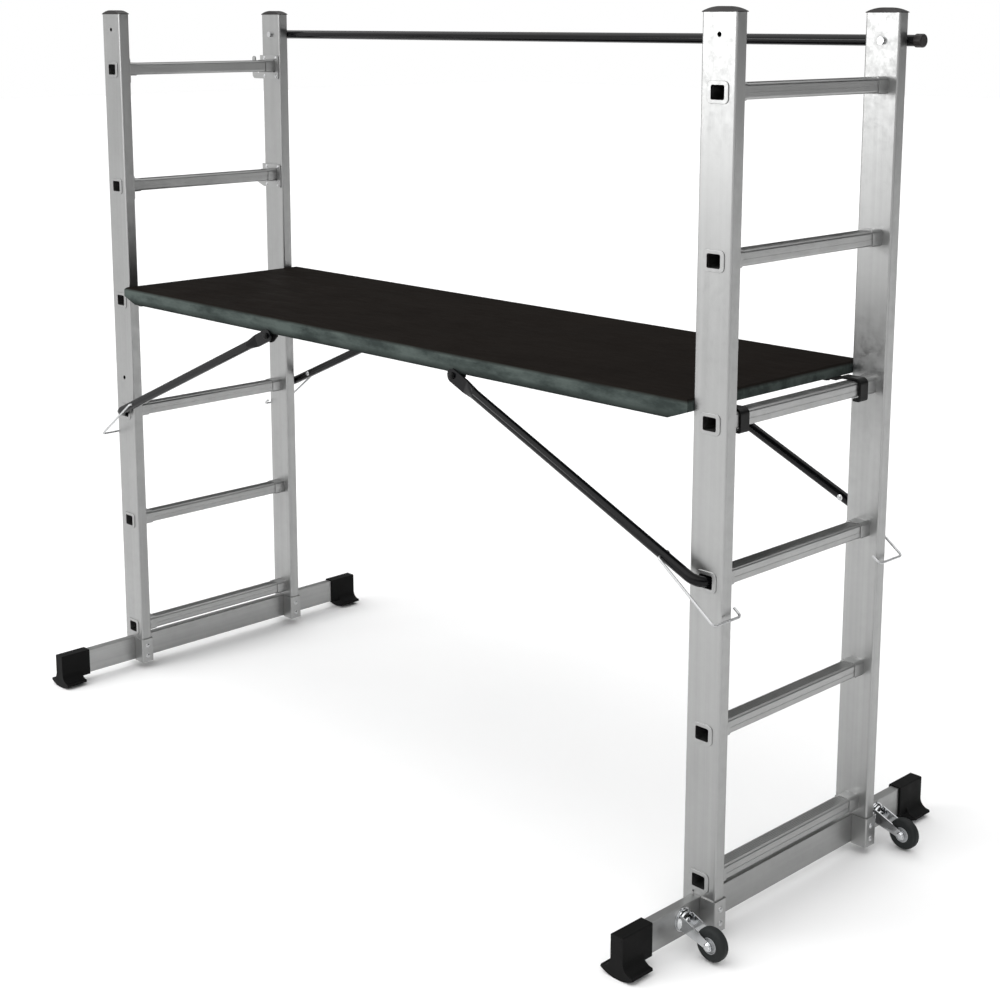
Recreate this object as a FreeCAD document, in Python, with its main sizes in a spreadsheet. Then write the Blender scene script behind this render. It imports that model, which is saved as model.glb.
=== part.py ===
"""Baker scaffold: two six-rung ladder frames, a platform on braces, a handrail and two castors.

Units are millimetres. X runs along the platform from the left frame to the right frame, Y runs from
the front to the back and Z is up. The origin is the centre of the footprint's box, on the floor.
"""
import FreeCAD, Part
import math
import os

import Sketcher
from FreeCAD import Placement, Rotation, Vector

DIMENSIONS = {
    # ladder frames
    "frame_spacing": 1840.0,
    "frame_depth": 500.0,
    "stile_width": 74.0,
    "stile_thick": 27.0,
    "stile_wall": 1.8,
    "stile_round": 4.0,
    "stile_bottom": 20.0,
    "stile_length": 1616.0,
    "first_rung": 106.0,
    "rung_pitch": 280.0,
    "rung_width": 32.0,
    "rung_height": 28.0,
    "rung_wall": 1.6,
    "rung_round": 5.0,
    "rib_width": 1.6,
    "rib_proud": 0.8,
    "groove_width": 4.0,
    "collar_width": 35.5,
    "collar_height": 31.5,
    "collar_length": 30.0,
    "flare_width": 45.0,
    "flare_height": 38.0,
    "flare_proud": 1.8,
    "cap_lid": 9.5,
    "cap_plug": 25.0,
    # stabiliser bars and feet
    "bar_width": 20.0,
    "bar_height": 58.0,
    "bar_wall": 2.0,
    "bar_shift": 4.0,
    "bar_length": 922.0,
    "bracket_thick": 3.0,
    "bolt_radius": 3.0,
    "foot_width": 28.0,
    "foot_height": 64.0,
    "foot_length": 78.0,
    "foot_end": 4.0,
    "shoe_length": 54.0,
    # castors
    "castor_spacing": 604.0,
    "castor_height": 54.0,
    "castor_reach": 69.0,
    "castor_trail": 20.0,
    "wheel_radius": 31.0,
    "wheel_width": 20.0,
    "hub_radius": 15.0,
    "hub_length": 23.0,
    "fork_gap": 24.0,
    "fork_thick": 2.5,
    "axle_radius": 4.0,
    # platform
    "deck_length": 1764.0,
    "deck_width": 530.0,
    "deck_top": 984.0,
    "deck_skin": 2.0,
    "deck_drop": 38.0,
    "deck_round": 9.0,
    "crossbar_width": 30.0,
    "crossbar_height": 21.0,
    "crossbar_length": 512.0,
    "crossbar_wall": 1.5,
    "hook_width": 24.0,
    "hook_thick": 5.0,
    "hook_spacing": 360.0,
    "pivot_bolt_radius": 4.0,
    # braces and latches
    "brace_radius": 10.0,
    "brace_wall": 1.5,
    "brace_bend": 24.0,
    "brace_pivot_x": 300.0,
    "brace_pivot_z": 941.0,
    "brace_stand_off": 22.0,
    "brace_insert": 50.0,
    "tab_width": 28.0,
    "tab_thick": 4.0,
    "latch_radius": 2.4,
    "latch_bend": 8.0,
    "latch_from_corner": 86.0,
    "latch_hole": 2.8,
    "latch_prong": 20.0,
    # handrail and coupling hooks
    "rail_radius": 10.5,
    "rail_wall": 1.5,
    "rail_height": 1586.0,
    "rail_length": 1958.0,
    "rail_cap_radius": 12.5,
    "coupling_thick": 3.0,
}
SIDES = {"left": -1, "right": 1}
ENDS = {"front": -1, "rear": 1}

doc = FreeCAD.newDocument("BakerScaffold")
sheet = doc.addObject("Spreadsheet::Sheet", "Dimensions")
for row, (alias, size) in enumerate(DIMENSIONS.items(), start=1):
    sheet.set(f"A{row}", alias)
    sheet.set(f"B{row}", str(size))
    sheet.setAlias(f"B{row}", alias)
doc.recompute()


def dim(alias):
    """A driving dimension, read back from the sheet."""
    return float(sheet.get(alias))


# Places worked out from the driving dimensions.
HALF_DEPTH = dim("frame_depth") / 2
HALF_STILE = dim("stile_width") / 2
STILE_Y = HALF_DEPTH - dim("stile_thick") / 2
INNER_Y = HALF_DEPTH - dim("stile_thick")
RUNG_Z = [dim("first_rung") + step * dim("rung_pitch") for step in range(6)]
BRACE_RUNG_Z, DECK_RUNG_Z, LOWER_HOOK_Z, UPPER_HOOK_Z = RUNG_Z[2:]
BAR_FACE = dim("bar_width") / 2 - dim("bar_shift")
BAR_Z = dim("stile_bottom") + dim("bar_height") / 2
BOLT_HEIGHTS = (33.0, 60.0)
RAIL_Y = HALF_DEPTH + dim("rail_radius")
SPARE_HOLE_Z = 1600.0
SIGHT_HOLE_Z = 752.0
DRAIN_HOLE = (-12.0, 82.5)
COUPLING_OUT = 40.0
HOOK_BOLT_X = 64.0
END_BAR_X = dim("frame_spacing") / 2 - HOOK_BOLT_X
CROSSBAR_X = (-END_BAR_X, -dim("brace_pivot_x"), 0.0, dim("brace_pivot_x"), END_BAR_X)
BRACE_Y = HALF_DEPTH + dim("brace_stand_off")
BRACE_RUN = Vector(dim("frame_spacing") / 2 - dim("brace_pivot_x"), 0, BRACE_RUNG_Z - dim("brace_pivot_z"))
LATCH_RUN = Vector(128, 0, -95)
LATCH_OUT = 16.0
LATCH_IN = 59.0
LATCH_PIN_END = 14.5

# The left side ends at the coupling hooks and the right side at the castor wheels.
left_edge = dim("frame_spacing") / 2 + HALF_STILE + COUPLING_OUT
right_edge = dim("frame_spacing") / 2 + BAR_FACE + dim("castor_reach") + dim("wheel_radius")
MIDDLE_X = (left_edge - right_edge) / 2
FRAME_X = {side: MIDDLE_X + sign * dim("frame_spacing") / 2 for side, sign in SIDES.items()}
PIVOT_X = {side: MIDDLE_X + sign * dim("brace_pivot_x") for side, sign in SIDES.items()}

PARTS = []


def add_part(item, label):
    """Name a finished sub-part and list it for export."""
    item.Label = label
    PARTS.append(item)


def at(x, y, z, rotation=None):
    return Placement(Vector(x, y, z), rotation or Rotation())


HALF_TURN = Rotation(Vector(0, 0, 1), 180)


def facing(end):
    """The turn about Z that takes a piece made for the front to either end."""
    return HALF_TURN if end == "rear" else Rotation()


# ---------------------------------------------------------------- sketches and features

def new_body(name):
    return doc.addObject("PartDesign::Body", name)


def new_sketch(body, plane, offset=None):
    """A sketch on one of the body's origin planes, moved along its normal by an expression."""
    sketch = body.newObject("Sketcher::SketchObject", body.Name + "_sketch")
    support = next(item for item in body.Origin.OriginFeatures if item.Role == plane)
    sketch.AttachmentSupport = (support, [""])
    sketch.MapMode = "FlatFace"
    if offset:
        sketch.setExpression("AttachmentOffset.Base.z", offset)
    return sketch


def bind(sketch, constraint, name, expression):
    """Add a dimension to a sketch and tie it to the sheet."""
    number = sketch.addConstraint(constraint)
    sketch.renameConstraint(number, name)
    sketch.setExpression(f"Constraints.{name}", expression)


def rectangle(sketch, name, width, height, low_x=None, low_y=None):
    """A rectangle whose size and lower left corner are expressions. It is centred by default."""
    low_x = low_x or f"-({width}) / 2"
    low_y = low_y or f"-({height}) / 2"
    corners = [Vector(1, 1, 0), Vector(2, 1, 0), Vector(2, 2, 0), Vector(1, 2, 0)]
    first = sketch.GeometryCount
    for number in range(4):
        sketch.addGeometry(Part.LineSegment(corners[number], corners[(number + 1) % 4]), False)
    for number in range(4):
        joined = Sketcher.Constraint("Coincident", first + number, 2, first + (number + 1) % 4, 1)
        sketch.addConstraint(joined)
    for number, direction in enumerate(("Horizontal", "Vertical", "Horizontal", "Vertical")):
        sketch.addConstraint(Sketcher.Constraint(direction, first + number))
    bind(sketch, Sketcher.Constraint("DistanceX", first, 1, first, 2, 1.0), name + "_width", width)
    bind(sketch, Sketcher.Constraint("DistanceY", first + 1, 1, first + 1, 2, 1.0), name + "_height", height)
    bind(sketch, Sketcher.Constraint("DistanceX", -1, 1, first, 1, 1.0), name + "_x", low_x)
    bind(sketch, Sketcher.Constraint("DistanceY", -1, 1, first, 1, 1.0), name + "_y", low_y)


def circle(sketch, name, radius, x=0.0, y=0.0):
    """A circle whose radius is an expression, with its centre at a place worked out above."""
    number = sketch.addGeometry(Part.Circle(Vector(x, y, 0), Vector(0, 0, 1), 1.0), False)
    bind(sketch, Sketcher.Constraint("Radius", number, 1.0), name + "_radius", radius)
    sketch.addConstraint(Sketcher.Constraint("DistanceX", -1, 1, number, 3, x))
    sketch.addConstraint(Sketcher.Constraint("DistanceY", -1, 1, number, 3, y))


def outline(sketch, *pieces):
    """Lines (two points) and arcs (three points) that close into one outline or make one path."""
    for piece in pieces:
        points = [Vector(x, y, 0) for x, y in piece]
        curve = Part.LineSegment(*points) if len(points) == 2 else Part.Arc(*points)
        sketch.addGeometry(curve, False)


def polygon(*points):
    """The straight sides of a closed outline."""
    return list(zip(points, points[1:] + points[:1]))


def pad(body, sketch, length, both_ways=True):
    feature = body.newObject("PartDesign::Pad", body.Name + "_pad")
    feature.Profile = sketch
    feature.setExpression("Length", length)
    feature.Midplane = both_ways
    return feature


def pocket(body, sketch):
    """A cut right through the body, both ways from the sketch."""
    feature = body.newObject("PartDesign::Pocket", body.Name + "_pocket")
    feature.Profile = sketch
    feature.Type = "ThroughAll"
    feature.Midplane = True
    return feature


def fillet(body, radius, wanted):
    """Round those edges of the body's last feature that the test picks."""
    doc.recompute()
    base = body.Tip
    names = [f"Edge{number}" for number, edge in enumerate(base.Shape.Edges, start=1) if wanted(edge)]
    if not names:
        raise RuntimeError(f"no edges to round on {body.Name}")
    feature = body.newObject("PartDesign::Fillet", body.Name + "_fillet")
    feature.Base = (base, names)
    feature.setExpression("Radius", radius)
    body.Tip = feature
    return feature


def along(axis, test=lambda centre: True):
    """A test for straight edges along an axis (0 X, 1 Y, 2 Z) with their middle where test says."""
    def wanted(edge):
        if edge.Curve.TypeId != "Part::GeomLine":
            return False
        direction = edge.Vertexes[-1].Point - edge.Vertexes[0].Point
        return abs(abs(direction.normalize()[axis]) - 1) < 1e-6 and test(edge.CenterOfMass)
    return wanted


def close(value, target):
    return abs(value - target) < 0.01


def turned(name, *pieces):
    """A body turned about X from an outline of (along the axis, radius) points."""
    body = new_body(name)
    sketch = new_sketch(body, "XZ_Plane")
    outline(sketch, *pieces)
    feature = body.newObject("PartDesign::Revolution", name + "_turned")
    feature.Profile = sketch
    feature.ReferenceAxis = (sketch, ["H_Axis"])
    feature.Angle = 360
    return body


# ---------------------------------------------------------------- primitives and booleans

def cylinder(radius, length, place):
    """A cylinder of an expression's radius, standing on its placement."""
    item = doc.addObject("Part::Cylinder", "Cylinder")
    item.setExpression("Radius", radius)
    item.Height = length
    item.Placement = place
    return item


def box(sizes, low):
    """A box of three expressions, with its lowest corner at a point."""
    item = doc.addObject("Part::Box", "Box")
    for name, size in zip(("Length", "Width", "Height"), sizes):
        item.setExpression(name, size)
    item.Placement = at(*low)
    return item


def prism(sides, radius, length, place):
    item = doc.addObject("Part::Prism", "Prism")
    item.Polygon = sides
    item.setExpression("Circumradius", radius)
    item.Height = length
    item.Placement = place
    return item


def fuse(*items):
    item = doc.addObject("Part::MultiFuse", "Fuse")
    item.Shapes = list(items)
    return item


def cut(base, *tools):
    item = doc.addObject("Part::Cut", "Cut")
    item.Base = base
    item.Tool = tools[0] if len(tools) == 1 else fuse(*tools)
    return item


def group(label, items):
    """Several separate solids as one sub-part."""
    item = doc.addObject("Part::Compound", label)
    item.Links = list(items)
    add_part(item, label)


TO_PLUS_X = Rotation(Vector(0, 1, 0), 90)


# ---------------------------------------------------------------- ladder frames

def stile(side, end):
    """One stile: a rounded tube with rung holes, bolt holes and a slot for the stabiliser bar."""
    body = new_body(f"{side}_{end}_stile")
    walls = new_sketch(body, "XY_Plane")
    rectangle(walls, "outer", "Dimensions.stile_width", "Dimensions.stile_thick")
    rectangle(walls, "inner", "Dimensions.stile_width - 2 * Dimensions.stile_wall",
              "Dimensions.stile_thick - 2 * Dimensions.stile_wall")
    pad(body, walls, "Dimensions.stile_length", both_ways=False)
    fillet(body, "Dimensions.stile_round", along(2, lambda centre: close(abs(centre.x), HALF_STILE)))
    across = new_sketch(body, "XZ_Plane")
    rectangle(across, "slot", "Dimensions.bar_width + 0.4", "Dimensions.bar_height + 10.2",
              "-Dimensions.bar_shift - Dimensions.bar_width / 2 - 0.2", "-10")
    for number in range(6):
        rectangle(across, f"rung{number + 1}", "Dimensions.rung_width", "Dimensions.rung_height",
                  "-Dimensions.rung_width / 2",
                  f"Dimensions.first_rung + {number} * Dimensions.rung_pitch"
                  " - Dimensions.stile_bottom - Dimensions.rung_height / 2")
    bottom = dim("stile_bottom")
    if end == "rear":
        circle(across, "rail_bolt", "Dimensions.pivot_bolt_radius", 0, dim("rail_height") - bottom)
    else:
        circle(across, "spare", "4.5", 0, SPARE_HOLE_Z - bottom)
    if (side, end) == ("left", "front"):
        circle(across, "sight", "5", 0, SIGHT_HOLE_Z - bottom)
    if (side, end) == ("right", "front"):
        circle(across, "drain", "2", DRAIN_HOLE[0], DRAIN_HOLE[1] - bottom)
    pocket(body, across)
    fillet(body, "Dimensions.rung_round",
           along(1, lambda centre: close(abs(centre.x), dim("rung_width") / 2)))
    bolts = new_sketch(body, "YZ_Plane")
    for number, height in enumerate(BOLT_HEIGHTS):
        circle(bolts, f"bolt{number + 1}", "Dimensions.bolt_radius", 0, height - bottom)
    pocket(body, bolts)
    body.Placement = at(FRAME_X[side], ENDS[end] * STILE_Y, bottom)
    add_part(body, f"{side}_{end}_stile")


def rung(side, number):
    """One rung: a tube with beads each side of the stiles, ribs on top and a groove on each side."""
    body = new_body(f"{side}_rung_{number}")
    tube = new_sketch(body, "XZ_Plane")
    rectangle(tube, "outer", "Dimensions.rung_width", "Dimensions.rung_height")
    pad(body, tube, "Dimensions.frame_depth")
    fillet(body, "Dimensions.rung_round", along(1))
    grooves = new_sketch(body, "XZ_Plane")
    for name, low_x in (("left", "-Dimensions.rung_width / 2 - 0.4"),
                        ("right", "Dimensions.rung_width / 2 - 0.6")):
        rectangle(grooves, name, "1", "Dimensions.groove_width", low_x, "-Dimensions.groove_width / 2")
    pocket(body, grooves)
    ribs = new_sketch(body, "XZ_Plane")
    for step in (-2, -1, 0, 1, 2):
        rectangle(ribs, f"rib{step + 3}", "Dimensions.rib_width", "Dimensions.rib_proud + 0.5",
                  f"{step * 4.2} - Dimensions.rib_width / 2", "Dimensions.rung_height / 2 - 0.5")
    pad(body, ribs, "Dimensions.frame_depth - 2 * Dimensions.stile_thick - 2 * Dimensions.collar_length")
    middle = "Dimensions.frame_depth / 2 - Dimensions.stile_thick - Dimensions.collar_length / 2"
    for name, way in (("front", ""), ("rear", "-")):
        collar = new_sketch(body, "XZ_Plane", f"{way}({middle})")
        rectangle(collar, name, "Dimensions.collar_width", "Dimensions.collar_height")
        pad(body, collar, "Dimensions.collar_length")
        flare = new_sketch(body, "XZ_Plane", f"{way}(Dimensions.frame_depth + Dimensions.flare_proud) / 2")
        rectangle(flare, name, "Dimensions.flare_width", "Dimensions.flare_height")
        pad(body, flare, "Dimensions.flare_proud")
    for bead, extra in (("collar_width", 1), ("flare_width", 4)):
        fillet(body, f"Dimensions.rung_round + {extra}",
               along(1, lambda centre: close(abs(centre.x), dim(bead) / 2)))
    fillet(body, "0.45 * Dimensions.flare_proud",
           lambda edge: close(abs(edge.CenterOfMass.y), HALF_DEPTH + dim("flare_proud")))
    bore = new_sketch(body, "XZ_Plane")
    rectangle(bore, "bore", "Dimensions.rung_width - 2 * Dimensions.rung_wall",
              "Dimensions.rung_height - 2 * Dimensions.rung_wall")
    pocket(body, bore)
    inner = dim("rung_width") / 2 - dim("rung_wall")
    fillet(body, "Dimensions.rung_round - Dimensions.rung_wall",
           along(1, lambda centre: close(abs(centre.x), inner)))
    body.Placement = at(FRAME_X[side], 0, RUNG_Z[number - 1])
    add_part(body, f"{side}_rung_{number}")


def stile_cap(side, end):
    """A plastic cap: a lid arched over the stile's width, with a plug that fits inside the stile."""
    body = new_body(f"{side}_{end}_cap")
    half, edge = HALF_STILE + 0.5, 1.6
    lid = new_sketch(body, "XZ_Plane")
    outline(lid, ((-half, 0), (half, 0)), ((half, 0), (half, edge)),
            ((half, edge), (0, dim("cap_lid")), (-half, edge)), ((-half, edge), (-half, 0)))
    pad(body, lid, "Dimensions.stile_thick + 1")
    fillet(body, "0.6", lambda side_edge: side_edge.Curve.TypeId == "Part::GeomCircle")
    plug = new_sketch(body, "XY_Plane", "-Dimensions.cap_plug / 2")
    rectangle(plug, "plug", "Dimensions.stile_width - 2 * Dimensions.stile_wall - 0.6",
              "Dimensions.stile_thick - 2 * Dimensions.stile_wall - 0.6")
    pad(body, plug, "Dimensions.cap_plug")
    body.Placement = at(FRAME_X[side], ENDS[end] * STILE_Y, dim("stile_bottom") + dim("stile_length"))
    return body


def stabiliser_bar(side):
    """The tube across the foot of a frame, with holes for its bolts and for the castors."""
    body = new_body(f"{side}_stabiliser_bar")
    walls = new_sketch(body, "XZ_Plane")
    rectangle(walls, "outer", "Dimensions.bar_width", "Dimensions.bar_height")
    pad(body, walls, "Dimensions.bar_length")
    fillet(body, "1.5", along(1))
    bore = new_sketch(body, "XZ_Plane")
    rectangle(bore, "bore", "Dimensions.bar_width - 2 * Dimensions.bar_wall",
              "Dimensions.bar_height - 2 * Dimensions.bar_wall")
    pocket(body, bore)
    holes = new_sketch(body, "YZ_Plane")
    for end, sign in ENDS.items():
        for number, height in enumerate(BOLT_HEIGHTS):
            circle(holes, f"{end}_bolt{number + 1}", "Dimensions.bolt_radius", sign * STILE_Y, height - BAR_Z)
        if side == "right":
            circle(holes, f"{end}_stud", "5", sign * dim("castor_spacing") / 2, dim("castor_height") - BAR_Z)
    pocket(body, holes)
    body.Placement = at(FRAME_X[side] - dim("bar_shift"), 0, BAR_Z)
    add_part(body, f"{side}_stabiliser_bar")


def foot(side, end):
    """A rubber foot: a sleeve over the end of the bar with a splayed shoe under it."""
    body = new_body(f"{side}_{end}_foot")
    sleeve = new_sketch(body, "XZ_Plane", "Dimensions.foot_length / 2")
    rectangle(sleeve, "sleeve", "Dimensions.foot_width", "Dimensions.foot_height")
    pad(body, sleeve, "Dimensions.foot_length")
    fillet(body, "2.5", along(1))
    shoe = new_sketch(body, "XZ_Plane", "Dimensions.foot_length - Dimensions.shoe_length / 2")
    outline(shoe, ((14, -12), (-14, -12)), ((-14, -12), (-19, -27), (-35.5, -34)), ((-35.5, -34), (-37, -39)),
            ((-37, -39), (0, -49), (37, -39)), ((37, -39), (35.5, -34)), ((35.5, -34), (19, -27), (14, -12)))
    pad(body, shoe, "Dimensions.shoe_length")
    dots = new_sketch(body, "XZ_Plane", "Dimensions.foot_length")
    for number, (x, z) in enumerate(((-9, 24), (9, 24), (-9, -4), (9, -4))):
        circle(dots, f"dot{number + 1}", "1.6", x, z)
    pad(body, dots, "0.8")
    # The bar fills the sleeve up to its closed end.
    cavity = new_sketch(body, "XZ_Plane", "(Dimensions.foot_length - Dimensions.foot_end) / 2")
    rectangle(cavity, "cavity", "Dimensions.bar_width", "Dimensions.bar_height")
    hollow = body.newObject("PartDesign::Pocket", body.Name + "_hollow")
    hollow.Profile = cavity
    hollow.Midplane = True
    hollow.setExpression("Length", "Dimensions.foot_length - Dimensions.foot_end")
    reach = dim("bar_length") / 2 + dim("foot_end") - dim("foot_length")
    body.Placement = at(FRAME_X[side] - dim("bar_shift"), ENDS[end] * reach, BAR_Z, facing(end))
    add_part(body, f"{side}_{end}_foot")


def bar_bracket(side, end):
    """A channel that wraps the outer half of a stile's foot and carries the bar's rivets."""
    body = new_body(f"{side}_{end}_bracket")
    inner, outer = dim("stile_thick") / 2, dim("stile_thick") / 2 + dim("bracket_thick")
    web, start = HALF_STILE + dim("bracket_thick"), BAR_FACE + 0.3
    channel = new_sketch(body, "XY_Plane")
    outline(channel, *polygon((start, -outer), (web, -outer), (web, outer), (start, outer), (start, inner),
                              (HALF_STILE, inner), (HALF_STILE, -inner), (start, -inner)))
    pad(body, channel, "Dimensions.bar_height + 2", both_ways=False)
    fillet(body, "Dimensions.bracket_thick", along(2, lambda centre: close(centre.x, web)))
    bolts = new_sketch(body, "YZ_Plane")
    for number, height in enumerate(BOLT_HEIGHTS):
        circle(bolts, f"bolt{number + 1}", "Dimensions.bolt_radius", 0, height - dim("stile_bottom") + 2)
    pocket(body, bolts)
    body.Placement = at(FRAME_X[side], ENDS[end] * STILE_Y, dim("stile_bottom") - 2)
    return body


def bar_rivets(side, end):
    """The two domed rivets that go through a bracket, its stile and the bar."""
    outer, inner = HALF_STILE + dim("bracket_thick"), -HALF_STILE
    shank = dim("bolt_radius")
    rivets = []
    for height in BOLT_HEIGHTS:
        rivet = turned(f"{side}_{end}_bar_rivet", *polygon(
            (inner - 2.8, 0), (inner - 2.4, 2.6), (inner - 1.4, 4.6), (inner, 5.8), (inner, shank),
            (outer, shank), (outer, 5.8), (outer + 1.4, 4.6), (outer + 2.4, 2.6), (outer + 2.8, 0)))
        rivet.Placement = at(FRAME_X[side], ENDS[end] * STILE_Y, height)
        rivets.append(rivet)
    return rivets


def coupling_plate(name, height, end, edges):
    """A hook plate on a stile's inner face, with holes for the rung's bead and its four rivets."""
    body = new_body(name)
    plate = new_sketch(body, "XZ_Plane")
    outline(plate, *edges)
    rectangle(plate, "bead", "Dimensions.collar_width + 0.6", "Dimensions.collar_height + 0.6")
    for number, (x, z) in enumerate(RIVETS):
        circle(plate, f"rivet{number + 1}", "2.5", x, z)
    pad(body, plate, "Dimensions.coupling_thick")
    body.Placement = at(FRAME_X["left"], ENDS[end] * (INNER_Y - dim("coupling_thick") / 2), height)
    return body


RIVETS = ((-26, 20), (22, 20), (-26, -26), (22, -26))
UPPER_PLATE = (((-43, 27), (27, 27)), ((27, 27), (30.5, 25.5), (32, 22)), ((32, 22), (32, -28)),
               ((32, -28), (30.5, -31.5), (27, -33)), ((27, -33), (-66, -33)),
               ((-66, -33), (-73.8, -29.8), (-77, -22)), ((-77, -22), (-77, 18)),
               ((-77, 18), (-70.5, 24.5), (-64, 18)), ((-64, 18), (-64, -8)),
               ((-64, -8), (-53.5, -18.5), (-43, -8)), ((-43, -8), (-43, 27)))
LOWER_PLATE = (((-43, 27), (27, 27)), ((27, 27), (30.5, 25.5), (32, 22)), ((32, 22), (32, -28)),
               ((32, -28), (30.5, -31.5), (27, -33)), ((27, -33), (-40, -33)), ((-40, -33), (-72, -21)),
               ((-72, -21), (-77, -15), (-71, -10)), ((-71, -10), (-43, -8)), ((-43, -8), (-43, 27)))


def coupling_rivets(height, end):
    """Domed rivet heads on a coupling plate, each with its shank through the plate."""
    rivets = []
    plate = dim("coupling_thick")
    for x, z in RIVETS:
        rivet = turned(f"rivet_{end}", *polygon((0, 0), (0, 2.5), (plate, 2.5), (plate, 4.6), (plate + 1, 4),
                                                (plate + 1.8, 2.6), (plate + 2.2, 0)))
        turn = Rotation(Vector(0, 0, 1), -90 * ENDS[end])
        rivet.Placement = at(FRAME_X["left"] + x, ENDS[end] * INNER_Y, height + z, turn)
        rivets.append(rivet)
    return rivets


# ---------------------------------------------------------------- castors

def castor(end):
    """A castor on the right bar: its swivel turns about X and its wheel about Y."""
    name = f"{end}_castor"
    y = ENDS[end] * dim("castor_spacing") / 2
    face = at(FRAME_X["right"] + BAR_FACE, y, dim("castor_height"))
    reach, trail = dim("castor_reach"), dim("castor_trail")
    hub_place = face.multiply(at(reach, 0, -trail, Rotation(Vector(0, 0, 1), 90)))

    back = -dim("bar_width")
    mount = turned(name + "_stud", *polygon(
        (back - 7, 0), (back - 7, 5), (0, 5), (0, 22), (3, 22), (3, 5), (13, 5), (13, 8.5), (15, 7.5),
        (16, 5), (16, 0)))
    mount.Placement = face
    behind = face.multiply(at(back - 6, 0, 0, TO_PLUS_X))
    nut = cut(prism(6, "9.5", 6, behind), cylinder("5", 6, behind))
    group(name + "_mount", [mount, nut])

    fork = turned(name + "_fork", *polygon(
        (3.4, 5.4), (3.4, 20), (6.4, 20), (8, 17.5), (11, 16), (12.6, 13), (12.6, 5.4)))
    arm_y = dim("fork_gap") / 2 + dim("fork_thick") / 2
    for way in (-1, 1):
        arm = new_sketch(fork, "XZ_Plane", f"{way} * (Dimensions.fork_gap + Dimensions.fork_thick) / 2")
        outline(arm, ((5, 13.5), (12, 13)), ((12, 13), (reach + 4.5, -trail + 8)),
                ((reach + 4.5, -trail + 8), (reach + 9, -trail), (reach, -trail - 9)),
                ((reach, -trail - 9), (reach - 7.5, -trail - 5)), ((reach - 7.5, -trail - 5), (12, -13)),
                ((12, -13), (5, -13.5)), ((5, -13.5), (5, 13.5)))
        pad(fork, arm, "Dimensions.fork_thick")
    pin_hole = new_sketch(fork, "XZ_Plane")
    circle(pin_hole, "axle", "Dimensions.axle_radius", reach, -trail)
    pocket(fork, pin_hole)
    fork.Placement = face
    add_part(fork, name + "_fork")

    side = arm_y + dim("fork_thick") / 2
    pin = dim("axle_radius")
    axle = turned(name + "_axle", *polygon(
        (-side - 4, 0), (-side - 4, 5), (-side - 2.5, 7), (-side, 7), (-side, pin), (side, pin), (side, 7),
        (side + 4, 7), (side + 4, 0)))
    axle.Placement = hub_place
    add_part(axle, name + "_axle")

    half, hub, bore = dim("wheel_width") / 2, dim("hub_radius"), pin + 0.3
    boss = dim("hub_length") / 2
    wheel_hub = turned(name + "_hub", *polygon(
        (-boss, bore), (-boss, 8), (-half + 3, 9), (-half + 3, hub - 2), (-half, hub - 1), (-half, hub),
        (half, hub), (half, hub - 1), (half - 3, hub - 2), (half - 3, 9), (boss, 8), (boss, bore)))
    wheel_hub.Placement = hub_place
    add_part(wheel_hub, name + "_hub")

    rim, tread = dim("wheel_radius") - 7, dim("wheel_radius")
    corner = 7 * math.sqrt(0.5)
    tyre = turned(name + "_tyre", ((-half, hub), (half, hub)), ((half, hub), (half, rim)),
                  ((half, rim), (half - 7 + corner, rim + corner), (half - 7, tread)),
                  ((half - 7, tread), (7 - half, tread)),
                  ((7 - half, tread), (7 - half - corner, rim + corner), (-half, rim)),
                  ((-half, rim), (-half, hub)))
    tyre.Placement = hub_place
    add_part(tyre, name + "_tyre")


# ---------------------------------------------------------------- platform

def rounded_block(name, inset, height, radius):
    """A block of the deck's outline, drawn in by an expression, with its top edge rounded."""
    body = new_body(name)
    sketch = new_sketch(body, "XY_Plane")
    rectangle(sketch, "block", f"Dimensions.deck_length - 2 * ({inset})",
              f"Dimensions.deck_width - 2 * ({inset})")
    top = pad(body, sketch, height, both_ways=False)
    doc.recompute()
    level = top.Shape.BoundBox.ZMax
    fillet(body, radius, lambda edge: close(edge.BoundBox.ZMin, level) and close(edge.BoundBox.ZMax, level))
    return body


def deck_panel():
    """The platform: one sheet with a rounded top edge, deep sides cut away at their ends."""
    outside = rounded_block("deck_outside", "0", "Dimensions.deck_drop", "Dimensions.deck_round")
    inside = rounded_block("deck_inside", "Dimensions.deck_skin",
                           "Dimensions.deck_drop - Dimensions.deck_skin",
                           "Dimensions.deck_round - Dimensions.deck_skin")
    half = dim("deck_length") / 2
    tools = [inside]
    for side, sign in SIDES.items():
        wedge = new_body(f"{side}_deck_wedge")
        sketch = new_sketch(wedge, "XZ_Plane")
        outline(sketch, *polygon((sign * (half - 44), 0), (sign * (half + 1), 16.4), (sign * (half + 1), -1),
                                 (sign * (half - 44), -1)))
        pad(wedge, sketch, "Dimensions.deck_width + 2")
        tools.append(wedge)
    panel = cut(outside, *tools)
    panel.Placement = at(MIDDLE_X, 0, dim("deck_top") - dim("deck_drop"))
    add_part(panel, "deck_panel")


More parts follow.
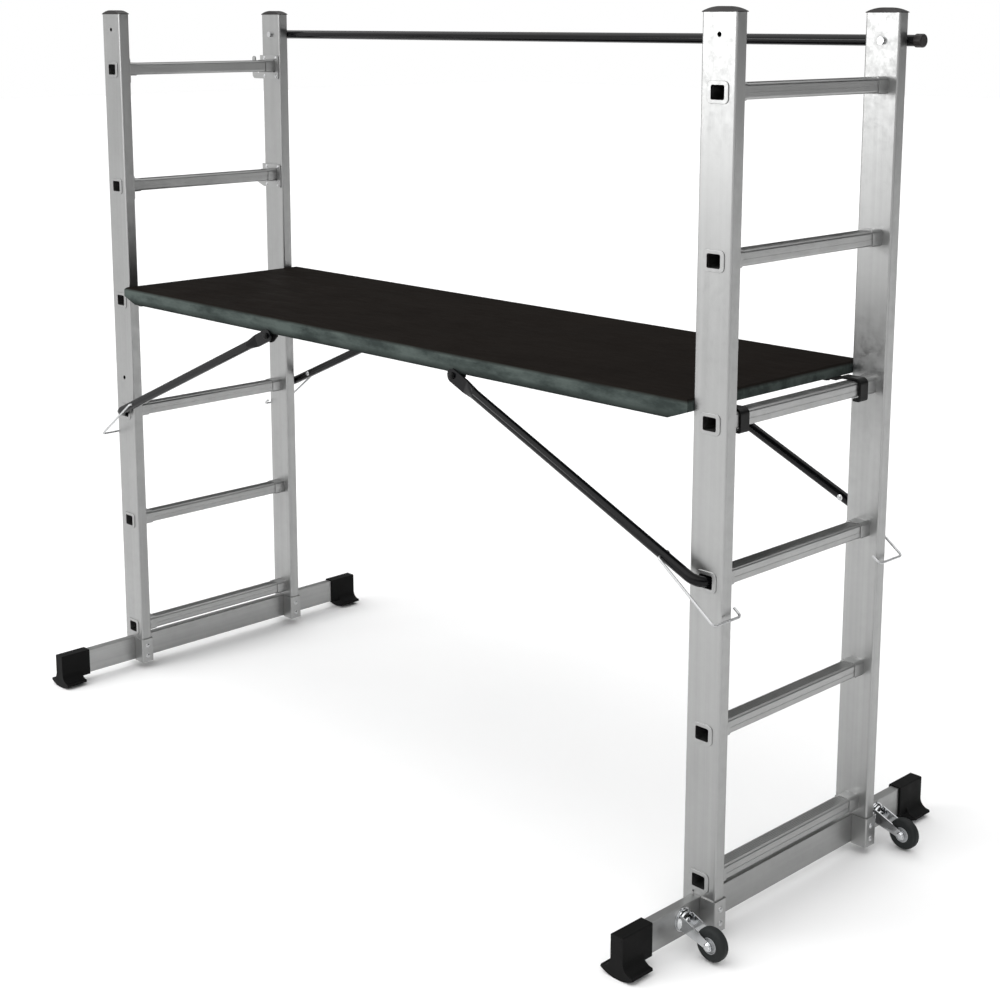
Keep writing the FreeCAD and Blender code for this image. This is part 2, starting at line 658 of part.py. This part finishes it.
def deck_crossbars():
    """Five tubes under the skin; the end ones are drilled for the hook bolts."""
    bars = []
    wall = dim("crossbar_wall")
    half_width, half_length = dim("crossbar_width") / 2, dim("crossbar_length") / 2
    low_z = dim("deck_top") - dim("deck_skin") - dim("crossbar_height")
    for x in CROSSBAR_X:
        solid = box(("Dimensions.crossbar_width", "Dimensions.crossbar_length", "Dimensions.crossbar_height"),
                    (MIDDLE_X + x - half_width, -half_length, low_z))
        bore = box(("Dimensions.crossbar_width - 2 * Dimensions.crossbar_wall", "Dimensions.crossbar_length",
                    "Dimensions.crossbar_height - 2 * Dimensions.crossbar_wall"),
                   (MIDDLE_X + x - half_width + wall, -half_length, low_z + wall))
        holes = [cylinder("Dimensions.pivot_bolt_radius", 2 * wall,
                          at(MIDDLE_X + x, way * dim("hook_spacing") / 2, low_z - wall / 2))
                 for way in ENDS.values() if abs(x) == END_BAR_X]
        bars.append(cut(solid, bore, *holes))
    group("deck_crossbars", bars)


def deck_hook(side, end):
    """A strap bolted under the deck that hooks over the fourth rung and down its far side."""
    body = new_body(f"{side}_{end}_deck_hook")
    sketch = new_sketch(body, "XZ_Plane")
    thick = dim("hook_thick")
    under = dim("deck_top") - dim("deck_skin") - dim("crossbar_height") - DECK_RUNG_Z
    over = dim("rung_height") / 2 + dim("rib_proud") + 0.2
    reach = dim("rung_width") / 2 + 0.3
    toe = -dim("rung_height") / 2 - 5
    far = reach + thick
    outline(sketch, *polygon((-76, under), (-36, under), (-24, over + thick), (far, over + thick),
                             (far, toe - thick), (far - 17, toe - thick), (far - 17, toe), (reach, toe),
                             (reach, over), (-22, over), (-34, under - thick), (-76, under - thick)))
    pad(body, sketch, "Dimensions.hook_width")
    fillet(body, "2 * Dimensions.hook_thick + 1.5",
           along(1, lambda centre: close(centre.x, far) and close(centre.z, over + thick)))
    fillet(body, "Dimensions.rung_round",
           along(1, lambda centre: close(centre.x, reach) and close(centre.z, over)))
    fillet(body, "Dimensions.hook_thick",
           along(1, lambda centre: close(centre.x, far) and close(centre.z, toe - thick)))
    bolt = new_sketch(body, "XY_Plane")
    circle(bolt, "bolt", "Dimensions.pivot_bolt_radius", -HOOK_BOLT_X, 0)
    pocket(body, bolt)
    turn = Rotation() if side == "right" else HALF_TURN
    body.Placement = at(FRAME_X[side], ENDS[end] * dim("hook_spacing") / 2, DECK_RUNG_Z, turn)
    return body


def hook_bolt(side, end):
    """The bolt that holds a hook strap to the deck's end crossbar."""
    low_z = dim("deck_top") - dim("deck_skin") - dim("crossbar_height")
    x, y = FRAME_X[side] - SIDES[side] * HOOK_BOLT_X, ENDS[end] * dim("hook_spacing") / 2
    strap_z = low_z - dim("hook_thick")
    shank = cylinder("Dimensions.pivot_bolt_radius", low_z + 6 - strap_z, at(x, y, strap_z))
    return fuse(shank, prism(6, "7.5", 5, at(x, y, strap_z - 5)))


def brace_bracket(side, end):
    """A plate inside the deck's side that carries a brace pivot below the side's edge."""
    body = new_body(f"{side}_{end}_brace_bracket")
    sketch = new_sketch(body, "XZ_Plane")
    outline(sketch, ((-25, 33), (25, 33)), ((25, 33), (25, 0)), ((25, 0), (16, -8)),
            ((16, -8), (0, -16), (-16, -8)), ((-16, -8), (-25, 0)), ((-25, 0), (-25, 33)))
    circle(sketch, "pivot", "Dimensions.pivot_bolt_radius")
    pad(body, sketch, "3")
    y = dim("deck_width") / 2 - dim("deck_skin") - 1.5
    body.Placement = at(PIVOT_X[side], ENDS[end] * y, dim("brace_pivot_z"))
    return body


def pivot_bolt(side, end):
    """A brace's pivot bolt, with its head outside, its nut inside and a spacer on the deck's side."""
    side_y = dim("deck_width") / 2
    inside, spacer_end = side_y - 5, BRACE_Y - dim("tab_thick") / 2 - 1.6
    head = BRACE_Y + dim("tab_thick") / 2 + 1.8
    bolt = turned(f"{side}_{end}_pivot_bolt", *polygon(
        (inside - 5, 0), (inside - 5, 7), (inside, 7), (inside, 4), (head, 4), (head, 7), (head + 3.5, 6),
        (head + 5, 3.5), (head + 5, 0)))
    spacer = turned(f"{side}_{end}_spacer", *polygon(
        (side_y, 4), (side_y, 9), (spacer_end, 9), (spacer_end, 4)))
    for item in (bolt, spacer):
        item.Placement = at(PIVOT_X[side], 0, dim("brace_pivot_z"), Rotation(Vector(0, 0, 1), 90 * ENDS[end]))
    return [bolt, spacer]


# ---------------------------------------------------------------- braces and latches

def run_frame(side, end, run):
    """Axes for a piece that lies along a run: X along it, Y from the brace towards the frame."""
    along_run = Vector(SIDES[side] * run.x, 0, run.z).normalize()
    inwards = Vector(0, -ENDS[end], 0)
    return Rotation(along_run, inwards, along_run.cross(inwards), "XYZ")


def path_with_bends(sketch, points, radius):
    """Straight runs through the points, joined by tangent arcs at the square corners."""
    start = Vector(*points[0], 0)
    for corner, after in zip(points[1:-1], points[2:]):
        corner, after = Vector(*corner, 0), Vector(*after, 0)
        back = (start - corner).normalize()
        on = (after - corner).normalize()
        enter, leave = corner + back * radius, corner + on * radius
        centre = corner + (back + on) * radius
        middle = centre + (corner - centre).normalize() * radius
        sketch.addGeometry(Part.LineSegment(start, enter), False)
        sketch.addGeometry(Part.Arc(enter, middle, leave), False)
        start = leave
    sketch.addGeometry(Part.LineSegment(start, Vector(*points[-1], 0)), False)


def swept(body, spine_points, bend, radii, plane, offset=None):
    """A round bar or tube swept along bends in the body's XY plane."""
    spine = new_sketch(body, "XY_Plane")
    path_with_bends(spine, spine_points, bend)
    section = new_sketch(body, plane, offset)
    for number, radius in enumerate(radii):
        circle(section, f"ring{number + 1}", radius)
    pipe = body.newObject("PartDesign::AdditivePipe", body.Name + "_sweep")
    pipe.Profile = section
    pipe.Spine = (spine, [f"Edge{number + 1}" for number in range(spine.GeometryCount)])
    return pipe


def brace(side, end):
    """A tube with a flattened eye at the deck and a right-angle bend into the third rung's end."""
    body = new_body(f"{side}_{end}_brace")
    length, insert = BRACE_RUN.Length, dim("brace_insert")
    eye_end, tube_start = 40.0, 70.0
    swept(body, [(tube_start, 0), (length, 0), (length, insert)], dim("brace_bend"),
          ("Dimensions.brace_radius", "Dimensions.brace_radius - Dimensions.brace_wall"), "YZ_Plane",
          str(tube_start))
    flat = new_sketch(body, "YZ_Plane", str(eye_end))
    rectangle(flat, "flat", "Dimensions.tab_thick", "Dimensions.tab_width")
    round_end = new_sketch(body, "YZ_Plane", str(tube_start))
    radius = dim("brace_radius")
    corner = radius * math.sqrt(0.5)
    outline(round_end, ((-corner, -corner), (0, -radius), (corner, -corner)),
            ((corner, -corner), (radius, 0), (corner, corner)),
            ((corner, corner), (0, radius), (-corner, corner)),
            ((-corner, corner), (-radius, 0), (-corner, -corner)))
    swage = body.newObject("PartDesign::AdditiveLoft", body.Name + "_swage")
    swage.Profile = flat
    swage.Sections = [round_end]
    swage.Ruled = False
    eye = new_sketch(body, "XZ_Plane")
    half = dim("tab_width") / 2
    outline(eye, ((eye_end, half), (0, half)), ((0, half), (-half, 0), (0, -half)),
            ((0, -half), (eye_end, -half)), ((eye_end, -half), (eye_end, half)))
    pad(body, eye, "Dimensions.tab_thick")
    holes = new_sketch(body, "XZ_Plane")
    circle(holes, "pivot", "Dimensions.pivot_bolt_radius + 0.6")
    circle(holes, "latch", "Dimensions.latch_hole", length - dim("latch_from_corner"), 0)
    pocket(body, holes)
    body.Placement = at(PIVOT_X[side], ENDS[end] * BRACE_Y, dim("brace_pivot_z"),
                        run_frame(side, end, BRACE_RUN))
    add_part(body, f"{side}_{end}_brace")


def latch(side, end):
    """A wire that pivots on a brace and reaches round the stile to hold the brace in its rung."""
    body = new_body(f"{side}_{end}_latch_wire")
    reach, prong = LATCH_RUN.Length, dim("latch_prong")
    swept(body, [(0, LATCH_PIN_END), (0, -LATCH_OUT), (reach, -LATCH_OUT), (reach, LATCH_IN),
                 (reach - prong, LATCH_IN)],
          dim("latch_bend"), ("Dimensions.latch_radius",), "XZ_Plane", str(-LATCH_PIN_END))
    washer = turned(f"{side}_{end}_washer", *polygon(
        (11, dim("latch_radius")), (10.4, 6), (11.4, 6.3), (12.4, dim("latch_radius"))))
    pivot = Vector(BRACE_RUN).multiply(1 - dim("latch_from_corner") / BRACE_RUN.Length)
    x = PIVOT_X[side] + SIDES[side] * pivot.x
    base = Vector(x, ENDS[end] * BRACE_Y, dim("brace_pivot_z") + pivot.z)
    body.Placement = Placement(base, run_frame(side, end, LATCH_RUN))
    washer.Placement = Placement(base, Rotation(Vector(0, 0, 1), -90 * ENDS[end]))
    group(f"{side}_{end}_latch", [body, washer])


# ---------------------------------------------------------------- handrail

def handrail():
    """A tube along the rear stiles with a cap on each end and a bolt through each stile."""
    body = new_body("handrail_tube")
    section = new_sketch(body, "YZ_Plane")
    circle(section, "outer", "Dimensions.rail_radius")
    circle(section, "inner", "Dimensions.rail_radius - Dimensions.rail_wall")
    pad(body, section, "Dimensions.rail_length")
    holes = new_sketch(body, "XZ_Plane")
    for side, sign in SIDES.items():
        circle(holes, side, "Dimensions.pivot_bolt_radius", sign * dim("frame_spacing") / 2, 0)
    pocket(body, holes)
    body.Placement = at(MIDDLE_X, RAIL_Y, dim("rail_height"))
    add_part(body, "handrail_tube")

    cap_radius, tube_radius, half = dim("rail_cap_radius"), dim("rail_radius"), dim("rail_length") / 2
    caps, bolts = [], []
    for side, sign in SIDES.items():
        cap = turned(f"{side}_rail_cap", ((-10, tube_radius), (-10, cap_radius)),
                     ((-10, cap_radius), (3, cap_radius)),
                     ((3, cap_radius), (5.1, cap_radius - 0.9), (6, cap_radius - 3)),
                     ((6, cap_radius - 3), (6, 0)), ((6, 0), (0, 0)), ((0, 0), (0, tube_radius)),
                     ((0, tube_radius), (-10, tube_radius)))
        turn = Rotation() if side == "right" else HALF_TURN
        cap.Placement = at(MIDDLE_X + sign * half, RAIL_Y, dim("rail_height"), turn)
        caps.append(cap)
        outside = HALF_DEPTH + 2 * tube_radius
        bolt = turned(f"{side}_rail_bolt", *polygon(
            (INNER_Y - 6, 0), (INNER_Y - 6, 7), (INNER_Y, 7), (INNER_Y, 4), (outside, 4), (outside, 7),
            (outside + 3, 5.5), (outside + 4, 3), (outside + 4, 0)))
        bolt.Placement = at(FRAME_X[side], 0, dim("rail_height"), Rotation(Vector(0, 0, 1), 90))
        bolts.append(bolt)
    group("handrail_end_caps", caps)
    group("handrail_bolts", bolts)


# ---------------------------------------------------------------- the whole scaffold

for frame_side in SIDES:
    for frame_end in ENDS:
        stile(frame_side, frame_end)
        foot(frame_side, frame_end)
    for rung_number in range(1, 7):
        rung(frame_side, rung_number)
    stabiliser_bar(frame_side)
    group(f"{frame_side}_stile_caps", [stile_cap(frame_side, frame_end) for frame_end in ENDS])
    group(f"{frame_side}_bar_brackets", [bar_bracket(frame_side, frame_end) for frame_end in ENDS])
    group(f"{frame_side}_bar_rivets", sum([bar_rivets(frame_side, frame_end) for frame_end in ENDS], []))
    group(f"{frame_side}_deck_hooks", [deck_hook(frame_side, frame_end) for frame_end in ENDS])

group("upper_coupling_hooks", [coupling_plate("upper", UPPER_HOOK_Z, name, UPPER_PLATE) for name in ENDS])
group("lower_coupling_hooks", [coupling_plate("lower", LOWER_HOOK_Z, name, LOWER_PLATE) for name in ENDS])
group("coupling_rivets", sum([coupling_rivets(height, name) for name in ENDS
                              for height in (UPPER_HOOK_Z, LOWER_HOOK_Z)], []))
deck_panel()
deck_crossbars()
corners = [(frame_side, frame_end) for frame_side in SIDES for frame_end in ENDS]
group("deck_hook_bolts", [hook_bolt(*corner) for corner in corners])
group("brace_brackets", [brace_bracket(*corner) for corner in corners])
group("brace_pivot_bolts", sum([pivot_bolt(*corner) for corner in corners], []))
for corner in corners:
    brace(*corner)
    latch(*corner)
for castor_end in ENDS:
    castor(castor_end)
handrail()

doc.recompute()
broken = [item.Name for item in doc.Objects if "Invalid" in item.State or "Error" in item.State]
broken += [item.Label for item in PARTS if item.Shape.isNull() or not item.Shape.isValid()]
if broken:
    raise RuntimeError("failed: " + ", ".join(broken))

os.makedirs("parts", exist_ok=True)
for item in PARTS:
    item.Shape.exportStep(f"parts/{item.Label}.step")
whole = Part.makeCompound([item.Shape for item in PARTS]).BoundBox
print(f"{len(PARTS)} parts, X {whole.XMin:.1f} to {whole.XMax:.1f}, Y {whole.YMin:.1f} to {whole.YMax:.1f}, "
      f"Z {whole.ZMin:.1f} to {whole.ZMax:.1f}")
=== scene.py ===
"""The looks of a baker scaffold: aluminium ladder frames, a black platform and braces, chromed castors."""
import math

import bpy
from mathutils import Euler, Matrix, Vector


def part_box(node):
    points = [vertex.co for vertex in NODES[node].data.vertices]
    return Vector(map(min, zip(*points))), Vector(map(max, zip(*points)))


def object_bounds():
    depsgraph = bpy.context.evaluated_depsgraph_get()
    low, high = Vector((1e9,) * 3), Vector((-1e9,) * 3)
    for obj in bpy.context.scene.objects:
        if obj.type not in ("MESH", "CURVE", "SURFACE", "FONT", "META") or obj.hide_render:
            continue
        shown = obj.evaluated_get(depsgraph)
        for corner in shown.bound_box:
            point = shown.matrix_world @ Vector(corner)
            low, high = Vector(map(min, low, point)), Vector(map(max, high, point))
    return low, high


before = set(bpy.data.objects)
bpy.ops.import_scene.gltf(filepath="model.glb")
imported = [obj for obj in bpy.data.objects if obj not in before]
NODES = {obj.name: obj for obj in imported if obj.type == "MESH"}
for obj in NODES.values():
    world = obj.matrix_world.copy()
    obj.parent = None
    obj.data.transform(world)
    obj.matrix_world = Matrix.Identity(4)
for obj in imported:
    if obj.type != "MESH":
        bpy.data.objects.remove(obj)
CAD_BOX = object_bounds()
scene = bpy.context.scene

FLOOR_LEVEL = CAD_BOX[0][2]
FLOOR_SIZE = 60

# The room's light grows from dark to bright as a direction turns to the bright side, front and left.
BRIGHT_SIDE = (-0.35, -0.9, 0.25)
ROOM_DARK, ROOM_BRIGHT = 0.06, 1.1
GLOW_START, GLOW_END = -0.2, 0.9

# The camera's place is measured from the middle between the two ladder frames.
FRAME_MIDDLE_X = sum(
    corner.x for node in ("left_front_stile", "right_front_stile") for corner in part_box(node)) / 4
CAMERA_RIGHT, CAMERA_DEPTH, CAMERA_HEIGHT = 2.7219, -2.5185, 1.6236
CAMERA_YAW, CAMERA_PITCH = 0.8047, 0.1832
SENSOR_WIDTH, FOCAL_LENGTH = 36, 62.26
SHIFT_X, SHIFT_Y = 0.0163, -0.16

# How far a noise pattern is drawn out: die lines along an extrusion, wear and painted sheen along the deck's
# sides.
DIE_LINE_STRETCH = 0.01
SHEEN_AND_WEAR_STRETCH = (0.35, 1, 1)

# The part of the deck's height, from its lower edge, over which the painted shade along the bottom of the
# sides fades out.
PAINTED_SHADE_PART = 0.4

# How much darker and lighter than its base a moulded piece's clouds are.
CLOUD_DARK, CLOUD_LIGHT = 0.7, 1.35

MILL_DARK, MILL_MID, MILL_LIGHT = (0.30, 0.302, 0.30), (0.35, 0.352, 0.35), (0.42, 0.422, 0.42)
TOP_DARK, TOP_LIGHT = (0.0062, 0.0046, 0.0036), (0.0085, 0.0065, 0.0052)
# Deck sides: a grey-green that is part wear and part painted sheen, and a darker hem tone that is painted
# shade.
SHEEN_AND_WEAR_DARK, SHEEN_AND_WEAR_LIGHT, PAINTED_SHADE_HEM = (0.030, 0.038, 0.036), (0.072, 0.088, 0.082), (0.014, 0.017, 0.016)
FLOOR_DARK, FLOOR_LIGHT = (0.92, 0.92, 0.92), (0.94, 0.94, 0.94)
ENAMEL_BLACK, SATIN_BLACK = (0.003, 0.003, 0.0035), (0.004, 0.004, 0.004)


# ---------------------------------------------------------------- node helpers

class Graph:
    """A material's node tree with short calls for the nodes that the materials share."""

    def __init__(self, name, base=None, **sockets):
        self.material = bpy.data.materials.new(name)
        self.material.use_nodes = True
        self.tree = self.material.node_tree
        self.shader = self.tree.nodes["Principled BSDF"]
        if base:
            self.shader.inputs["Base Color"].default_value = (*base, 1)
        for socket, value in sockets.items():
            self.shader.inputs[socket.replace("_", " ")].default_value = value
        self.place = self.tree.nodes.new("ShaderNodeTexCoord").outputs["Object"]

    def link(self, output, node_input):
        self.tree.links.new(output, node_input)

    def noise(self, scale, detail, rough, stretch=(1, 1, 1)):
        """A noise factor over the object's own coordinates."""
        mapping = self.tree.nodes.new("ShaderNodeMapping")
        mapping.inputs["Scale"].default_value = stretch
        self.link(self.place, mapping.inputs["Vector"])
        noise = self.tree.nodes.new("ShaderNodeTexNoise")
        noise.inputs["Scale"].default_value = scale
        noise.inputs["Detail"].default_value = detail
        noise.inputs["Roughness"].default_value = rough
        self.link(mapping.outputs["Vector"], noise.inputs["Vector"])
        return noise.outputs["Fac"]

    def upward(self, vector):
        """The Z part of a vector."""
        split = self.tree.nodes.new("ShaderNodeSeparateXYZ")
        self.link(vector, split.inputs["Vector"])
        return split.outputs["Z"]

    def spread(self, value, low, high, start=0.3, end=0.7):
        """Map a value from start..end onto low..high."""
        node = self.tree.nodes.new("ShaderNodeMapRange")
        for socket, number in (("From Min", start), ("From Max", end), ("To Min", low), ("To Max", high)):
            node.inputs[socket].default_value = number
        self.link(value, node.inputs["Value"])
        return node.outputs["Result"]

    def mix(self, factor, first, second):
        """Blend from the first colour to the second; each is a colour or another node's output."""
        node = self.tree.nodes.new("ShaderNodeMix")
        node.data_type = "RGBA"
        self.link(factor, node.inputs["Factor"])
        for socket, colour in (("A", first), ("B", second)):
            target = next(i for i in node.inputs if i.name == socket and i.type == "RGBA")
            if isinstance(colour, tuple):
                target.default_value = (*colour, 1)
            else:
                self.link(colour, target)
        return next(o for o in node.outputs if o.type == "RGBA")

    def colour(self, output):
        self.link(output, self.shader.inputs["Base Color"])

    def roughness(self, output):
        self.link(output, self.shader.inputs["Roughness"])

    def bump(self, height, strength, distance):
        """Add a bump on top of the bumps already there."""
        node = self.tree.nodes.new("ShaderNodeBump")
        node.inputs["Strength"].default_value = strength
        node.inputs["Distance"].default_value = distance
        previous = self.shader.inputs["Normal"].links
        if previous:
            self.link(previous[0].from_socket, node.inputs["Normal"])
        self.link(height, node.inputs["Height"])
        self.link(node.outputs["Normal"], self.shader.inputs["Normal"])


# ---------------------------------------------------------------- materials

def extruded_aluminium(name, along):
    """Mill-finish extrusion: die lines along one axis, clouded tone and small dull scuffs."""
    graph = Graph(name, Metallic=1.0)
    stretch = [DIE_LINE_STRETCH if axis == along else 1 for axis in "XYZ"]
    streaks = graph.noise(scale=110, detail=3, rough=0.6, stretch=stretch)
    lines = graph.noise(scale=900, detail=2, rough=0.6, stretch=stretch)
    clouds = graph.noise(scale=4, detail=5, rough=0.6)
    scuffs = graph.noise(scale=60, detail=8, rough=0.75)
    tone = graph.mix(graph.spread(clouds, 0, 1), MILL_DARK, MILL_MID)
    graph.colour(graph.mix(graph.spread(streaks, 0, 0.35), tone, MILL_LIGHT))
    graph.roughness(graph.spread(scuffs, 0.28, 0.44, start=0.35, end=0.65))
    graph.bump(lines, strength=0.12, distance=0.0004)
    graph.bump(scuffs, strength=0.05, distance=0.0004)
    return graph.material


def plated_steel(name, base, smoothest, roughest):
    """Plated sheet or wire: one metal tone with a fine spangle in its gloss."""
    graph = Graph(name, base, Metallic=1.0)
    spangle = graph.noise(scale=120, detail=5, rough=0.6)
    graph.roughness(graph.spread(spangle, smoothest, roughest))
    graph.bump(spangle, strength=0.08, distance=0.0003)
    return graph.material


def deck_coating():
    """Smooth brown-black coating; the rounded sides are a mottled grey-green, part wear and part painted
    sheen, with painted shade darkening their lower edge.
    """
    graph = Graph("deck_coating", Specular_IOR_Level=0.02)
    normal = graph.tree.nodes.new("ShaderNodeNewGeometry").outputs["Normal"]
    # The sides are picked by their normal; their grey-green is part wear and part painted sheen.
    side = graph.spread(graph.upward(normal), 1, 0, start=0.1, end=0.75)
    mottle = graph.noise(scale=26, detail=5, rough=0.65, stretch=SHEEN_AND_WEAR_STRETCH)
    sheen_and_wear = graph.mix(graph.spread(mottle, 0, 1, start=0.36, end=0.60), SHEEN_AND_WEAR_DARK, SHEEN_AND_WEAR_LIGHT)
    low, high = (corner.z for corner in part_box("deck_panel"))
    # Painted shade: the sides turn darker towards the deck's lower edge.
    painted_shade_mask = graph.spread(graph.upward(graph.place), 1, 0, start=low, end=low + PAINTED_SHADE_PART * (high - low))
    sides_with_painted_shade = graph.mix(painted_shade_mask, sheen_and_wear, PAINTED_SHADE_HEM)
    blotches = graph.noise(scale=7, detail=6, rough=0.6)
    top = graph.mix(graph.spread(blotches, 0, 1), TOP_DARK, TOP_LIGHT)
    graph.colour(graph.mix(side, top, sides_with_painted_shade))
    graph.roughness(graph.spread(mottle, 0.52, 0.68))
    graph.bump(graph.noise(scale=420, detail=3, rough=0.6), strength=0.12, distance=0.0003)
    return graph.material


def gloss_paint():
    """Black enamel on tube: deep gloss with a little orange peel."""
    graph = Graph("gloss_paint", ENAMEL_BLACK, Specular_IOR_Level=0.18)
    graph.roughness(graph.spread(graph.noise(scale=30, detail=5, rough=0.6), 0.12, 0.24))
    graph.bump(graph.noise(scale=260, detail=2, rough=0.5), strength=0.06, distance=0.0004)
    return graph.material


def satin_paint():
    """Black coating on the deck's steel fittings: half dull, with a fine grain."""
    graph = Graph("satin_paint", SATIN_BLACK, Specular_IOR_Level=0.15)
    graph.roughness(graph.spread(graph.noise(scale=60, detail=5, rough=0.6), 0.34, 0.5))
    graph.bump(graph.noise(scale=500, detail=3, rough=0.6), strength=0.10, distance=0.0002)
    return graph.material


def moulded(name, base, smoothest, roughest, grain, shine):
    """A moulded plastic or rubber: dull, with a fine grain and a soft cloudiness."""
    graph = Graph(name, Specular_IOR_Level=shine)
    cloud = graph.noise(scale=24, detail=6, rough=0.6)
    dark = tuple(channel * CLOUD_DARK for channel in base)
    light = tuple(channel * CLOUD_LIGHT for channel in base)
    graph.colour(graph.mix(graph.spread(cloud, 0, 1), dark, light))
    graph.roughness(graph.spread(cloud, smoothest, roughest))
    graph.bump(graph.noise(scale=grain, detail=4, rough=0.6), strength=0.2, distance=0.0004)
    return graph.material


ALUMINIUM_Y = extruded_aluminium("aluminium_along_y", "Y")
ALUMINIUM_Z = extruded_aluminium("aluminium_along_z", "Z")
ZINC = plated_steel("zinc_plate", (0.50, 0.505, 0.51), 0.22, 0.38)
BRACKET = plated_steel("bracket_plate", (0.36, 0.362, 0.36), 0.32, 0.46)
CHROME = plated_steel("chrome_plate", (0.62, 0.63, 0.64), 0.08, 0.18)
DECK = deck_coating()
GLOSS = gloss_paint()
SATIN = satin_paint()
CAP = moulded("cap_plastic", (0.012, 0.010, 0.010), 0.35, 0.5, grain=600, shine=0.3)
RUBBER = moulded("foot_rubber", (0.0035, 0.0035, 0.0035), 0.55, 0.75, grain=420, shine=0.12)
TYRE = moulded("tyre_rubber", (0.012, 0.014, 0.014), 0.55, 0.75, grain=350, shine=0.25)
HUB = moulded("hub_plastic", (0.36, 0.37, 0.38), 0.35, 0.5, grain=500, shine=0.5)

# The first word that a node's name contains gives its look.
LOOKS = (
    ("tyre", TYRE), ("hub", HUB), ("foot", RUBBER), ("cap", CAP), ("castor", CHROME), ("stile", ALUMINIUM_Z),
    ("rung", ALUMINIUM_Y), ("stabiliser_bar", ALUMINIUM_Y), ("bar_brackets", BRACKET), ("bar_", ZINC),
    ("coupling_hooks", BRACKET), ("coupling_rivets", ZINC), ("latch", ZINC), ("handrail_bolts", ZINC),
    ("handrail_tube", GLOSS), ("deck_panel", DECK), ("deck_hooks", SATIN), ("brace_brackets", SATIN),
    ("brace_pivot_bolts", SATIN), ("deck", SATIN), ("brace", GLOSS),
)


def dress(node):
    """Give a CAD node its look."""
    material = next(look for word, look in LOOKS if word in node.name)
    node.data.materials.clear()
    node.data.materials.append(material)


for node in NODES.values():
    dress(node)


# ---------------------------------------------------------------- stage, light and camera

def floor():
    """A plain pale floor well past the object on every side."""
    bpy.ops.mesh.primitive_plane_add(size=FLOOR_SIZE, location=(0, 0, FLOOR_LEVEL))
    ground = bpy.context.object
    ground.name = "floor"
    graph = Graph("floor_white", Roughness=0.9, Specular_IOR_Level=0.1)
    patches = graph.noise(scale=1.5, detail=3, rough=0.5)
    graph.colour(graph.mix(graph.spread(patches, 0, 1), FLOOR_DARK, FLOOR_LIGHT))
    ground.data.materials.append(graph.material)


def studio():
    """A white room as seen, whose light is bright in front and falls off behind and to the right."""
    world = bpy.data.worlds.new("studio")
    world.use_nodes = True
    tree = world.node_tree
    scene.world = world
    direction = tree.nodes.new("ShaderNodeTexCoord").outputs["Generated"]
    facing = tree.nodes.new("ShaderNodeVectorMath")
    facing.operation = "DOT_PRODUCT"
    facing.inputs[1].default_value = BRIGHT_SIDE
    tree.links.new(direction, facing.inputs[0])
    level = tree.nodes.new("ShaderNodeMapRange")
    for socket, number in (("From Min", GLOW_START), ("From Max", GLOW_END),
                           ("To Min", ROOM_DARK), ("To Max", ROOM_BRIGHT)):
        level.inputs[socket].default_value = number
    tree.links.new(facing.outputs["Value"], level.inputs["Value"])
    seen = tree.nodes.new("ShaderNodeLightPath").outputs["Is Camera Ray"]
    pick = tree.nodes.new("ShaderNodeMix")
    tree.links.new(seen, pick.inputs["Factor"])
    tree.links.new(level.outputs["Result"], pick.inputs["A"])
    pick.inputs["B"].default_value = 1.0
    background = tree.nodes["Background"]
    background.inputs["Color"].default_value = (1, 1, 1, 1)
    tree.links.new(pick.outputs["Result"], background.inputs["Strength"])


def overhead(strength, spread):
    """An even, very soft light from straight above."""
    lamp = bpy.data.lights.new("overhead", "SUN")
    lamp.energy = strength
    lamp.angle = math.radians(spread)
    scene.collection.objects.link(bpy.data.objects.new("overhead", lamp))


def front_key(place, target, size, power):
    """A soft rectangular lamp at a place, turned to face a target."""
    lamp = bpy.data.lights.new("front_key", "AREA")
    lamp.shape, lamp.size, lamp.size_y, lamp.energy = "RECTANGLE", size[0], size[1], power
    item = bpy.data.objects.new("front_key", lamp)
    item.location = place
    item.rotation_euler = (Vector(target) - Vector(place)).to_track_quat("-Z", "Y").to_euler()
    scene.collection.objects.link(item)


def camera():
    """In front of the right-hand frame's corner, looking down along the platform."""
    lens = bpy.data.cameras.new("camera")
    lens.sensor_width, lens.lens = SENSOR_WIDTH, FOCAL_LENGTH
    lens.shift_x, lens.shift_y = SHIFT_X, SHIFT_Y
    lens.dof.use_dof = False
    item = bpy.data.objects.new("camera", lens)
    item.location = (FRAME_MIDDLE_X + CAMERA_RIGHT, CAMERA_DEPTH, CAMERA_HEIGHT)
    item.rotation_euler = Euler((math.pi / 2 - CAMERA_PITCH, 0, CAMERA_YAW))
    scene.collection.objects.link(item)
    scene.camera = item


floor()
studio()
overhead(strength=2.6, spread=120)
front_key(place=(-1.5, -3.3, 1.95), target=(0.9, -0.25, 1.45), size=(1.5, 1.1), power=34)
camera()
scene.view_settings.view_transform = "Standard"
